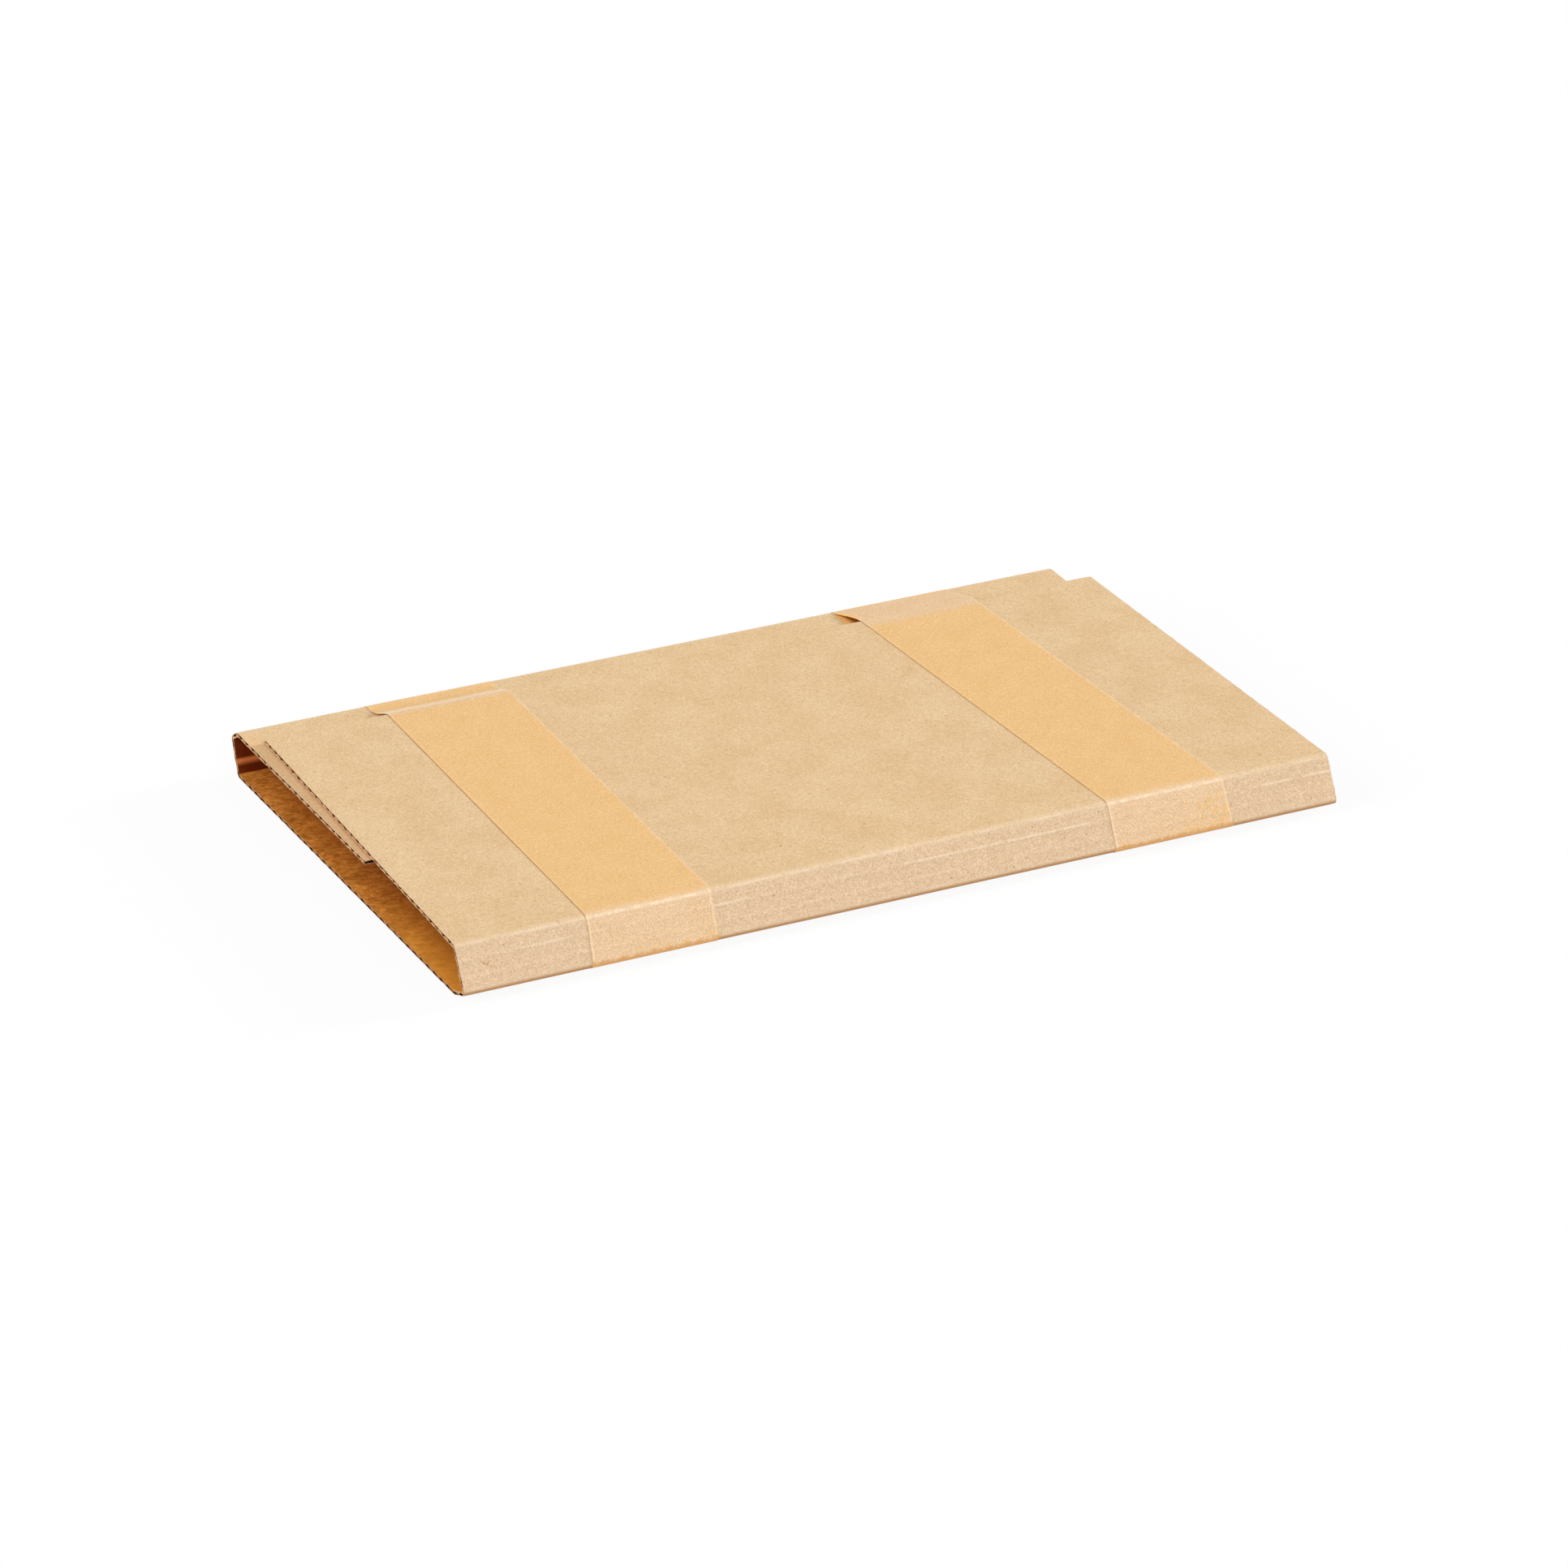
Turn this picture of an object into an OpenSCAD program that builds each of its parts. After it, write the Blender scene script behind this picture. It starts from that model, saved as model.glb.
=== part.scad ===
// Book wrap mailer: one sheet of fluted board folded round a flat cavity with both ends open.
// Its two flaps lap on top, and two bands of paper tape go right round it and hold it shut.
// The flutes run along X, the front wall faces -Y, and the wrap lies on its bottom panel.

/* [Board] */
// Length of the board along its flutes, at the front wall
board_length = 361; // [300:1:420]
// Thickness of the board over both liners
board_t = 1.7; // [1.4:0.1:2.4]
// Thickness of each flat liner
liner_t = 0.25; // [0.15:0.05:0.35]
// Thickness of the fluted paper between the liners
flute_paper_t = 0.2; // [0.15:0.05:0.3]
// Nominal distance from one flute to the next
flute_pitch = 6; // [4:0.5:8]
// Width of the glue line where a flute meets a liner
glue_w = 1; // [0.6:0.1:1.4]
// Radius inside each fold
fold_r = 0.5; // [0.3:0.1:1.2]

/* [Bottom and walls] */
// Depth of the flat bottom panel
bottom_depth = 204.4; // [150:0.2:260]
// How far the front fold stands out past the bottom panel
front_foot = 9.6; // [7:0.1:13]
// Height of the front fold's edge over the bottom panel
front_foot_rise = 3.5; // [2.5:0.1:5]
// How far the front wall leans back
front_wall_lean = 8.9; // [2:0.1:12]
// How far the front wall bulges along each of its score lines
front_bulge = 0.25; // [0.1:0.05:0.4]
// Reach of that bulge above its score line
bulge_above = 0.9; // [0.8:0.1:1.4]
// Reach of the bulge below its score line
bulge_below = 1.8; // [1.2:0.1:2]
// Height of the back wall
back_wall_rise = 15.7; // [13:0.1:40]
// How far the back wall leans out
back_wall_lean = 5.3; // [2:0.1:8]
// Height of the back wall's score line over the bottom panel
score_rise = 4.6; // [4:0.1:6]
// Height that the back wall's score line takes up
score_h = 1.9; // [1.5:0.1:3]
// How far the back wall steps out along its score line
score_step = 1.2; // [0.6:0.1:1.6]
// Depth of the slope between the back wall and the back flap
back_fold_depth = 6.1; // [5:0.1:9]
// Height of that slope
back_fold_rise = 3.6; // [2.5:0.1:5]

/* [Flaps] */
// Depth of the back flap, the lower of the two
back_flap_depth = 123.4; // [90:0.2:140]
// How far the back flap drops from its fold to its free edge
back_flap_drop = 0.7; // [0:0.1:2]
// Depth of the top flap at its left end
top_flap_depth = 190.5; // [150:0.5:195]
// How much less deep the top flap is at its right end
top_flap_skew = 4.2; // [0:0.2:8]
// How far the top flap's left edge moves in on its way to the back
top_flap_inset = 5.6; // [0:0.2:10]
// How much shorter the board is along its back fold, at the right end
back_shortfall = 8.5; // [0:0.5:15]
// Gap between the two flaps where the top one comes down
flap_gap = 0.3; // [0.2:0.1:1]
// How much higher the top flap stands at the front fold than if it lay flat
front_lift = 0.5; // [0:0.1:2]

/* [Tape] */
// Width of each tape band
tape_w = 50; // [25:1:75]
// Thickness of the tape
tape_t = 0.15; // [0.1:0.05:0.3]
// Distance of the left band's middle from the board's left end, on the top flap
left_band_x = 79.2; // [50:0.1:120]
// How far the left band drifts outwards from the top flap's free edge to the front fold
left_band_drift = 4.9; // [0:0.1:8]
// How far it jogs to the left where it spans the step behind the top flap
left_band_jog = 1.7; // [0:0.1:4]
// Reach of that span
left_band_bridge = 9; // [5:0.5:12]
// Distance of the right band's middle from the board's right end, on the top flap
right_band_x = 74.1; // [50:0.1:120]
// How far the right band drifts outwards from the top flap's free edge to the front fold
right_band_drift = 6.7; // [0:0.1:8]
// How far it jogs to the left where it spans the step behind the top flap
right_band_jog = 3.2; // [0:0.1:4]
// Reach of that span
right_band_bridge = 16; // [5:0.5:17]
// Length of the tape's end that laps over its start, under the bottom panel
tape_lap = 20; // [10:1:40]

/* [Hidden] */
board_colour = "#e6c89c";
tape_colour = "#dfb47c";
// most that one flat stretch of a fold's arc turns
arc_angle = 20;
// shortest flat stretch that is drawn
least_stretch = 0.01;
// stretches that the curved side of each flute is cut into
flute_steps = 6;
// how far a cutting block reaches past what it cuts
past = 5;
// a height that is over the whole wrap
height_limit = back_wall_rise + back_fold_rise + board_t + flap_gap + 4 * past;

fold_mid_r = fold_r + board_t / 2;
// the tape's lapped end is the lowest face, and the board lies two tapes above it
board_z = 2 * tape_t;

// corners of the sheet's outer face, seen along +X as depth and height over the bottom panel
bottom_back = [bottom_depth / 2, 0];
bottom_front = [-bottom_depth / 2, 0];
wall_slope = (back_wall_lean - score_step) / (back_wall_rise - score_h);
score_low = bottom_back + score_rise * [wall_slope, 1];
score_high = score_low + [score_step, score_h];
back_wall_top = bottom_back + [back_wall_lean, back_wall_rise];
back_fold_top = back_wall_top + [-back_fold_depth, back_fold_rise];
back_flap_end = back_fold_top - [back_flap_depth, back_flap_drop];
front_edge = bottom_front + [-front_foot, front_foot_rise];

// height of the back flap's outer face at a given depth, also past its free edge
function back_flap_z(y) = back_fold_top[1] - back_flap_drop * (back_fold_top[0] - y) / back_flap_depth;
// height half way through the gap between the flaps
function flap_split_z(y) = back_flap_z(y) + flap_gap / 2;
// height of a flap that lies on the back flap
function lapped_z(y) = back_flap_z(y) + flap_gap + board_t;

front_top_y = front_edge[0] + front_wall_lean;
front_top = [front_top_y, lapped_z(front_top_y) + front_lift];
top_flap_end_y = front_top_y + top_flap_depth;
top_flap_end = [top_flap_end_y, lapped_z(top_flap_end_y)];

function unit(v) = v / norm(v);
// the direction that points out of the wrap, for a stretch that runs along v
function outward(v) = [v[1], -v[0]];

// the front wall's score lines part it in thirds, and it bulges a little along each
front_down = unit(front_edge - front_top);
front_scores = [for (share = [1, 2] / 3)
    let (score = front_top + share * (front_edge - front_top))
    each [score - bulge_above * front_down, score + front_bulge * outward(front_down),
          score + bulge_below * front_down]];

// the sheet's corners in order, from the top flap's free edge round to the back flap's
front_corners = [top_flap_end, front_top, each front_scores, front_edge];
back_corners = [bottom_back, score_low, score_high, back_wall_top, back_fold_top, back_flap_end];
outer_corners = [each front_corners, bottom_front, each back_corners];
bottom_run = len(front_corners);
corner_count = len(outer_corners);
// a direction turned anticlockwise
function turned(v, a) = [v[0] * cos(a) - v[1] * sin(a), v[0] * sin(a) + v[1] * cos(a)];
// sum of a list's first n values
function sum_to(list, n) = n <= 0 ? 0 : list[n - 1] + sum_to(list, n - 1);

// direction of each stretch, and the turn at each corner, which is positive where the sheet closes in
run_dir = [for (i = [0 : corner_count - 2]) unit(outer_corners[i + 1] - outer_corners[i])];
turn = [for (i = [0 : corner_count - 1])
    i == 0 || i == corner_count - 1 ? 0
    : asin(run_dir[i - 1][0] * run_dir[i][1] - run_dir[i - 1][1] * run_dir[i][0]) >= 0
    ? acos(run_dir[i - 1] * run_dir[i])
    : -acos(run_dir[i - 1] * run_dir[i])];

// the same corners on the sheet's middle surface
mid_corners = [for (i = [0 : corner_count - 1])
    let (along = i == 0 ? run_dir[0]
             : i == corner_count - 1 ? run_dir[i - 1]
             : unit(run_dir[i - 1] + run_dir[i]))
    outer_corners[i] - outward(along) * board_t / 2 / cos(turn[i] / 2)];

// length of each fold's arc and of the straight stretch after each corner
fold_tangent = [for (a = turn) fold_mid_r * tan(abs(a) / 2)];
fold_length = [for (a = turn) fold_mid_r * abs(a) * PI / 180];
run_length = [for (i = [0 : corner_count - 2])
    norm(mid_corners[i + 1] - mid_corners[i]) - fold_tangent[i] - fold_tangent[i + 1]];

// distance along the sheet from the top flap's free edge to the start of each straight stretch
run_start = [for (i = [0 : corner_count - 2]) sum_to(run_length, i) + sum_to(fold_length, i + 1)];
sheet_depth = run_start[corner_count - 2] + run_length[corner_count - 2];

// index of the stretch that holds a distance along the sheet
function run_at(s, i = 0) = i >= corner_count - 2 || s < run_start[i + 1] ? i : run_at(s, i + 1);

// point at a distance along the sheet's middle surface and a height outwards from it
function on_sheet(s, n) =
    let (i = run_at(s),
         along = run_dir[i],
         out = outward(along),
         start = mid_corners[i] + along * fold_tangent[i],
         past_run = s - run_start[i] - run_length[i])
    past_run <= 0 || i == corner_count - 2
    ? start + along * (s - run_start[i]) + out * n
    : let (way = sign(turn[i + 1]),
           centre = start + along * run_length[i] - way * out * fold_mid_r,
           swept = way * past_run / fold_mid_r * 180 / PI)
      centre + way * turned(out, swept) * (fold_mid_r + way * n);

// distances at which the folds' arcs are cut into flat stretches
fold_stops = [for (i = [1 : corner_count - 2])
    let (steps = ceil(abs(turn[i]) / arc_angle))
    for (k = [0 : steps]) run_start[i] - fold_length[i] * (1 - k / steps)];
// the same between two distances, with those at both ends
function stops(a, b) = [a, for (s = fold_stops) if (s > a + least_stretch && s < b - least_stretch) s, b];

function reversed(list) = [for (i = [len(list) - 1 : -1 : 0]) list[i]];

// the fluted paper swings between the liners, and touches the inner one at both free edges
flutes = round(sheet_depth / flute_pitch);
pitch = sheet_depth / flutes;
liner_face = board_t / 2 - liner_t;
flute_swing = liner_face - flute_paper_t / 2;
function flute_mid(s) = -flute_swing * cos(360 * s / pitch);

// outline of one channel: side is 1 under the outer liner and -1 over the inner one
function channel(first, side) =
    let (a = first + glue_w / 2,
         b = first + pitch - glue_w / 2)
    concat([for (s = stops(a, b)) on_sheet(s, side * liner_face)],
           [for (j = [1 : flute_steps - 1])
               let (s = b - j * (b - a) / flute_steps)
               on_sheet(s, flute_mid(s) + side * flute_paper_t / 2)]);

// the half channel that a free edge lays open, from the outer liner back to the edge
function open_channel(edge, crest) =
    let (deep = crest + sign(edge - crest) * glue_w / 2)
    concat([on_sheet(edge, liner_face), on_sheet(deep, liner_face)],
           [for (j = [1 : flute_steps / 2])
               let (s = deep + j * (edge - deep) / (flute_steps / 2))
               on_sheet(s, flute_mid(s) + flute_paper_t / 2)]);

sheet_outline = concat(
    [for (s = stops(0, sheet_depth)) on_sheet(s, board_t / 2)],
    open_channel(sheet_depth, sheet_depth - pitch / 2),
    [for (s = reversed(stops(0, sheet_depth))) on_sheet(s, -board_t / 2)],
    reversed(open_channel(0, pitch / 2)));
channels = concat([for (k = [0 : flutes - 2]) channel((k + 0.5) * pitch, 1)],
                  [for (k = [0 : flutes - 1]) channel(k * pitch, -1)]);

// depth of the top flap's free edge at a given place along the wrap
function flap_end_at(x) = top_flap_end_y - top_flap_skew * (x + board_length / 2) / board_length;

// distances along the sheet at which the tape's lapped end starts and stops
lap_start = run_start[bottom_run] + (run_length[bottom_run] - tape_lap) / 2;
lap_end = lap_start + tape_lap;

// points of a line pulled taut from one point to another, over whichever of the points between stand out
function taut_line(from, to, between) =
    let (reach = [for (p = between) outward(unit(to - from)) * (p - from)],
         furthest = [for (i = [0 : 1 : len(between) - 1])
             if (reach[i] > least_stretch && reach[i] == max(reach)) between[i]])
    len(furthest) == 0 ? [from]
    : concat(taut_line(from, furthest[0], between), taut_line(furthest[0], to, between));

// outline of the tape's loop at a height over the board: it leaves the top flap at a given depth,
// runs right round the outer face to the back flap, and spans the step between the two flaps
function band_outline(leave_y, bridge, height, lap_height) =
    let (leave = (top_flap_end_y - leave_y) / -run_dir[0][0],
         last = corner_count - 2,
         land = run_start[last] + back_fold_top[0] - leave_y - bridge - fold_tangent[last],
         rim = board_t / 2 + height,
         flap_edge = on_sheet(leave, board_t / 2),
         in_the_way = [for (i = [run_at(land) + 1 : 1 : last]) outer_corners[i], on_sheet(leave, -board_t / 2)],
         span = [each taut_line(on_sheet(land, board_t / 2), flap_edge, in_the_way), flap_edge],
         heading = [run_dir[run_at(land)],
                    for (i = [1 : len(span) - 1]) unit(span[i] - span[i - 1]),
                    run_dir[0]])
    [for (s = stops(leave, lap_start)) if (s > leave) on_sheet(s, rim),
     if (lap_height > 0) each [on_sheet(lap_start, rim + lap_height), on_sheet(lap_end, rim + lap_height)],
     for (s = stops(lap_end, land)) if (s < land) on_sheet(s, rim),
     for (i = [0 : len(span) - 1])
         let (both_ways = heading[i] + heading[i + 1])
         span[i] + outward(both_ways) * 2 * height / (both_ways * both_ways)];

// middle of the wrap's depth, measured over the tape, which becomes the origin
reach_y = [for (s = fold_stops) on_sheet(s, board_t / 2 + tape_t)[0]];
middle_y = (min(reach_y) + max(reach_y)) / 2;

// lays a depth and height outline along X, from one place to another
module along_x(from, to, outline, holes = []) {
    loops = concat([outline], holes);
    starts = [for (i = [0 : len(loops) - 1]) sum_to([for (loop = loops) len(loop)], i)];
    translate([from, -middle_y, board_z]) rotate([90, 0, 90]) linear_extrude(to - from)
        polygon([for (loop = loops) each loop],
                [for (i = [0 : len(loops) - 1]) [for (j = [0 : len(loops[i]) - 1]) starts[i] + j]]);
}

// what lies inside both a plan outline and a depth and height outline
module cut_block(plan, side) {
    intersection() {
        translate([0, -middle_y, board_z - past]) linear_extrude(height_limit) polygon(plan);
        along_x(-board_length, board_length, side);
    }
}

// the folded sheet, with its crooked cut edges
module folded_sheet() {
    left = -board_length / 2;
    right = board_length / 2;
    short_right = right - back_shortfall;
    behind = back_wall_top[0] + past;
    half_way = back_wall_rise / 2;
    back_flap_front = back_flap_end[0] - past;
    top_side = [[front_top_y, flap_split_z(front_top_y)], [behind, flap_split_z(behind)],
                [behind, height_limit], [front_top_y, height_limit]];
    difference() {
        along_x(left, right, sheet_outline, channels);
        // the top flap's slanted left edge and free edge
        cut_block([[left - past, front_top_y], [left, front_top_y], [left + top_flap_inset, top_flap_end_y],
                   [right, top_flap_end_y - top_flap_skew], [right + past, top_flap_end_y - top_flap_skew],
                   [right + past, behind], [left - past, behind]], top_side);
        // the slanted right edge of the bottom panel
        cut_block([[right, bottom_front[0]], [right + past, bottom_front[0]], [right + past, behind],
                   [short_right, behind], [short_right, bottom_back[0]]],
                  [[bottom_front[0], -past], [behind, -past], [behind, half_way], [bottom_front[0], half_way]]);
        // the shorter back wall and back flap
        cut_block([[short_right, back_flap_front], [right + past, back_flap_front],
                   [right + past, behind], [short_right, behind]],
                  [[back_flap_front, half_way], [behind, half_way],
                   [behind, flap_split_z(behind)], [back_flap_front, flap_split_z(back_flap_front)]]);
    }
}

// plan of a strip as wide as the tape, along the points of its middle line
module strip(stations) {
    polygon(concat([for (p = stations) p - [tape_w / 2, 0]], [for (p = reversed(stations)) p + [tape_w / 2, 0]]));
}

// one band of tape: its middle's place and its drift are positive to the right, and its jog to the left
module tape_band(middle, drift, jog, bridge) {
    reach = tape_w / 2 + abs(drift) + jog;
    leave_y = flap_end_at(middle - reach);
    slope = drift / (front_top_y - leave_y);
    back_x = middle + slope * leave_y - jog;
    behind = back_wall_top[0] + past;
    // the upper part of the plan has the jog, and the lower part runs straight between its two ends
    split_z = board_z + front_foot_rise;
    split_front = [middle + slope * front_edge[0], front_edge[0]];
    split_back = [back_x, bottom_back[0] + wall_slope * front_foot_rise];
    before = past * (split_front - split_back) / bottom_depth;
    intersection() {
        along_x(middle - reach, middle + reach, band_outline(leave_y, bridge, tape_t, tape_t),
                [band_outline(leave_y, bridge, 0, 0)]);
        union() {
            translate([0, -middle_y, split_z]) linear_extrude(height_limit)
                strip([split_front - [slope, 1] * past, [middle + slope * leave_y, leave_y],
                       [back_x, leave_y + bridge], [back_x, behind]]);
            translate([0, -middle_y, -past]) linear_extrude(split_z + past)
                strip([split_front + before, split_back - before]);
        }
    }
}

module wrap_board() {
    color(board_colour) folded_sheet();
}

module tape_band_left() {
    color(tape_colour)
        tape_band(left_band_x - board_length / 2, -left_band_drift, left_band_jog, left_band_bridge);
}

module tape_band_right() {
    color(tape_colour)
        tape_band(board_length / 2 - right_band_x, right_band_drift, right_band_jog, right_band_bridge);
}

wrap_board();
tape_band_left();
tape_band_right();
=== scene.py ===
# Book wrap mailer: the looks of the folded board and its two tape bands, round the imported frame.
# The wrap's sizes are in millimetres until a mesh is made, and the studio's are in metres.
# x, y and z are those of the frame, and s is the distance along the folded sheet.
import math

import bpy
import numpy as np
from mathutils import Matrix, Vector, noise

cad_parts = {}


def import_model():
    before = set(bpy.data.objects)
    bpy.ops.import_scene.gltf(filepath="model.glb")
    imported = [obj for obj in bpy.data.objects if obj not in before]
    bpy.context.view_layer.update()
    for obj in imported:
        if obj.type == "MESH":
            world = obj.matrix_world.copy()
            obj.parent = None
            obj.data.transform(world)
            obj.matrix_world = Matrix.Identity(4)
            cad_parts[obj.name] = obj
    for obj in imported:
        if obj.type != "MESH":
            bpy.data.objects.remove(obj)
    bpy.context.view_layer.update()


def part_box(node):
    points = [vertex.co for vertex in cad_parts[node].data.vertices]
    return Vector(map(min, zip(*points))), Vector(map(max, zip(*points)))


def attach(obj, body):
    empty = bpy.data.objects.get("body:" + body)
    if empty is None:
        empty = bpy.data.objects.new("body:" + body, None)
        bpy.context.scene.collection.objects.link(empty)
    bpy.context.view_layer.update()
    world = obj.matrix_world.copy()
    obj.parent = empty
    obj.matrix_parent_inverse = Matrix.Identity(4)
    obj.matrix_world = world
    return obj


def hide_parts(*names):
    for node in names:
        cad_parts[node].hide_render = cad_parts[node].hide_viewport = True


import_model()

MM = 0.001

# The board, as in the part's source
BOARD_LENGTH = 361.0
LEFT_END = -BOARD_LENGTH / 2
BOARD_THICKNESS = 1.7
LINER_THICKNESS = 0.25
FLUTE_PAPER_THICKNESS = 0.2
NOMINAL_PITCH = 6.0
FOLD_RADIUS = 0.5
BOTTOM_DEPTH = 204.4
FRONT_FOOT = (9.6, 3.5)
FRONT_WALL_LEAN = 8.9
FRONT_BULGE = 0.25
BULGE_ABOVE = 0.9
BULGE_BELOW = 1.8
BACK_WALL = (5.3, 15.7)
SCORE_RISE = 4.6
SCORE_STEP = (1.2, 1.9)
BACK_FOLD = (6.1, 3.6)
BACK_FLAP_DEPTH = 123.4
BACK_FLAP_DROP = 0.7
TOP_FLAP_DEPTH = 190.5
TOP_FLAP_SKEW = 4.2
TOP_FLAP_INSET = 5.6
BACK_SHORTFALL = 8.5
FLAP_GAP = 0.3
FRONT_LIFT = 0.5

# The tape. A band's left and right edge each have four places in x: where it lands behind the top flap,
# at that flap's free edge, at the front fold, and at the foot of the front wall. "bridge" is the depth
# that the band spans behind the free edge, "pale" is how far it is pale behind that edge and before it,
# and "jog_from" is the share of the span after which its edges run aside. "span_lift" is how far the
# span's left edge stands up, "span_highlight" is how much painted highlight lightens the loose span, and
# "tacky" is how much more the band's right part sticks to the front wall.
TAPE_THICKNESS = 0.1
CAD_TAPE_THICKNESS = 0.15
TAPE_WIDTH = 50.0
TAPE_LAP = 20.0
SPAN_EDGE_LIFT = 0.35
BANDS = {
    "tape_band_left": {
        "left": (-127.2, -124.2, -128.7, -129.9),
        "right": (-74.6, -73.2, -78.6, -79.3),
        "bridge": 9.0,
        "pale": (4.0, 3.0),
        "jog_from": 0.55,
        "span_lift": 0.2,
        "span_highlight": 0.35,
        "tacky": 0.2,
    },
    "tape_band_right": {
        "left": (73.6, 78.0, 85.1, 84.9),
        "right": (124.6, 128.2, 134.9, 135.5),
        "bridge": 16.0,
        "pale": (16.0, 10.0),
        "jog_from": 0.0,
        "span_lift": SPAN_EDGE_LIFT,
        "span_highlight": 0.0,
        "tacky": 0.42,
    },
}

# Signs of making and use. The board's unevenness comes in two sizes, each with its depth, its length
# along x and along s, and its place in the noise. Washboard is how deep the flutes show through a liner.
# Folds that turn by more than the worn turn are worn and carry a painted highlight, and edges that turn by
# more than the sharp turn are shaded as sharp.
UNEVEN = ((0.09, 70.0, 45.0, 3.7), (0.02, 17.0, 14.0, 9.1))
WASHBOARD = 0.012
FOLD_WEAR_AND_HIGHLIGHT_REACH = 2.2
WORN_AND_LIT_TURN = math.radians(25)
SHARP_TURN = math.radians(50)

# The cut ends: how ragged they are, how far in and how deep they are crushed, how high torn fibre stands
# in the lower flutes, and how the inner liner curls. A pair is a steady part and an uneven part.
RAGGED = 0.16
RAGGED_STEP = 3.5
CRUSH_REACH = 2.6
CRUSH_DEPTH = 0.06
CRUSH_STEP = 9.0
CRUSHED_FILL = 0.62
TORN_RISE = (0.18, 0.12)
INNER_CURL = (0.1, 0.24)
INNER_BULGE = 0.1

# The fluted paper: how deep its crests press into the liners, how far it stays inside the cut edges and
# the sheet's first and last edge, the least width that it keeps there, and how it bends at the left end
FLUTE_BITE = 0.015
FLUTE_INSET = 0.1
FLUTE_FIRST_INSET = 0.15
FLUTE_LAST_INSET = 0.05
FLUTE_LEAST_WIDTH = 2.0
FLUTE_BEND = 0.07
FLUTE_BEND_REACH = 3.0
FLUTE_BEND_STEP = 4.0

# The tape's edges: how far they stand up on the board, and how far in that reaches there and on the span.
# Then the thin gap under the tape, and where it is tacky: more and more between two distances past the
# front fold, and from a share of its width on.
TAPE_EDGE_LIFT = 0.01
TAPE_EDGE_REACH = 1.1
SPAN_EDGE_REACH = 9.0
TAPE_GAP = 0.012
TACKY_PAST_FOLD = (1.5, 7.0)
TACKY_FROM_SHARE = 0.3

# Rows and columns of the meshes: rows by their step along s, by the angle between them round a fold or by
# their number, and columns by their distance from a cut end or by their share of the width. The slant
# reach is how far along the top flap the rows follow its slanted free edge.
ARC_STEP = math.radians(7)
LINER_ROW_STEP = 0.9
LINER_COLUMNS = 26
END_COLUMNS = (0, 0.35, 0.8, 1.4, 2.2, 3.4, 5.5, 9)
EVEN_COLUMNS_FROM = 14.0
SLANT_REACH = 60.0
FLUTE_ROWS = 12
FLUTE_COLUMNS = (0, 0.002, 0.006, 0.02, 0.5, 0.98, 0.994, 0.998, 1)
TAPE_ROW_STEP = 4.0
SPAN_ROWS = 20
LAP_RISE_ROWS = (1.5, 1.0, 0.5, 0.0)
TAPE_COLUMNS = (0, 0.006, 0.016, 0.04, 0.1, 0.2, 0.3, 0.4, 0.5, 0.6, 0.7, 0.8, 0.9, 0.96, 0.984, 0.994, 1)

# Small marks on the outer liner: x, distance past the front fold, length, width, turn, colour and strength
MARKS = (
    (-172.3, -147.3, 0.9, 0.5, 0.4, "7a4c26", 0.8),
    (-164.0, -136.0, 2.4, 1.6, 0.2, "dd9a5c", 0.5),
    (-40.0, -20.1, 1.1, 1.2, 0.0, "77592f", 0.8),
    (-48.1, -9.7, 0.9, 1.0, 0.0, "8a6a38", 0.75),
    (-57.4, -33.3, 0.7, 0.8, 0.0, "8a6a38", 0.6),
    (53.1, 2.6, 1.0, 0.6, 1.0, "84552c", 0.7),
    (16.4, 14.6, 1.1, 0.6, 0.3, "84552c", 0.7),
    (-170.6, 8.3, 2.6, 1.0, -0.8, "c48c54", 0.7),
    (-169.2, 8.6, 2.6, 1.0, 0.9, "c48c54", 0.7),
)

# The camera, found from the photograph's edges: its place in metres, its angles in degrees, and its lens and
# sensor in millimetres
CAMERA_PLACE = (-1.0420, -2.1005, 1.1129)
CAMERA_PITCH = 25.32
CAMERA_HEADING = 26.41
LENS = 156.52
SENSOR = 36.0

# The studio: the floor's half width and how white the camera sees it, the strength of the even light, and
# the lamps, each with its heading from +X and its height in degrees, level, spread in degrees and tint
FLOOR_REACH = 8.0
FLOOR_WHITE = 0.93
EVEN_LIGHT = 0.33
LAMPS = {
    "right": (0, 17, 0.8, 12, (1.03, 1.0, 0.93)),
    "left": (180, 30, 0.62, 40, (1.0, 1.0, 1.0)),
    "front": (-85, 35, 0.28, 30, (0.94, 0.98, 1.1)),
}


def linear(code):
    """A colour written as six hexadecimal digits, as the linear values that a shader takes."""
    shares = [int(code[i:i + 2], 16) / 255 for i in (0, 2, 4)]
    lights = [share / 12.92 if share <= 0.04045 else ((share + 0.055) / 1.055) ** 2.4 for share in shares]
    return (*lights, 1.0)


# The folded sheet

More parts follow.
